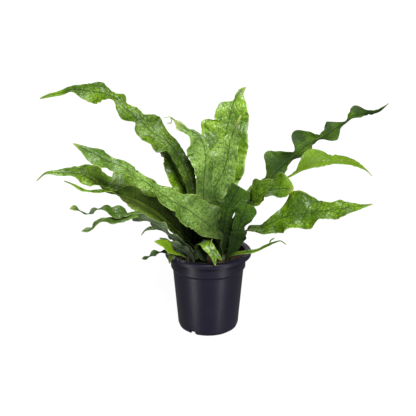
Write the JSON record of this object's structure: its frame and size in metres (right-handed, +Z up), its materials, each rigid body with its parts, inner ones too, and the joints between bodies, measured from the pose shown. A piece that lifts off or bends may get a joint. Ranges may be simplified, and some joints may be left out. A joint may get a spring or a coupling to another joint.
{
  "type": "potted fern",
  "caption": "Potted fern: broad puckered strap fronds with waved margins, some forked at the tip, rising from creeping stems in peat in a round nursery pot.",
  "frame": {"origin": "centre of the pot's base, on the surface that it stands on", "axes": "+Z up, +X to the right of the picture along the plant's longest spread, +Y away from the camera"},
  "size_m": [0.5688, 0.3669, 0.3994],
  "materials": {
    "pot": "satin black moulded plastic",
    "peat": "moist crumbly peat",
    "rhizome": "scaly creeping stem",
    "frond_mature": "glossy puckered frond",
    "frond_young": "satin pale young frond",
    "frond_old": "satin dark or grey-green frond"
  },
  "bodies": {
    "root": {"pot": "pot", "soil": "peat", "rhizome_front": "rhizome", "rhizome_middle": "rhizome", "rhizome_back": "rhizome", "frond_upper_left": "frond_mature", "frond_tall_behind": "frond_mature", "frond_centre": "frond_mature", "frond_broad_front_left": "frond_mature", "frond_broad_right": "frond_mature", "frond_rounded_right": "frond_mature", "frond_inner_right": "frond_mature", "frond_back_tall": "frond_mature", "frond_back_low": "frond_mature", "frond_back_left": "frond_mature", "frond_back_right": "frond_mature", "frond_right_front": "frond_mature", "frond_forked_tip": "frond_young", "frond_pale_below_left": "frond_young", "frond_young_left": "frond_young", "frond_young_crested": "frond_young", "frond_seedling_left": "frond_young", "frond_young_right": "frond_young", "frond_pale_right": "frond_young", "frond_short_behind_left": "frond_old", "frond_long_left": "frond_old", "frond_wavy_low_left": "frond_old", "frond_beaded_left": "frond_old", "frond_grey_low_left": "frond_old", "frond_small_dark_left": "frond_old", "frond_long_right": "frond_old", "frond_short_front": "frond_old", "frond_inner_left": "frond_old"}
  },
  "joints": []
}
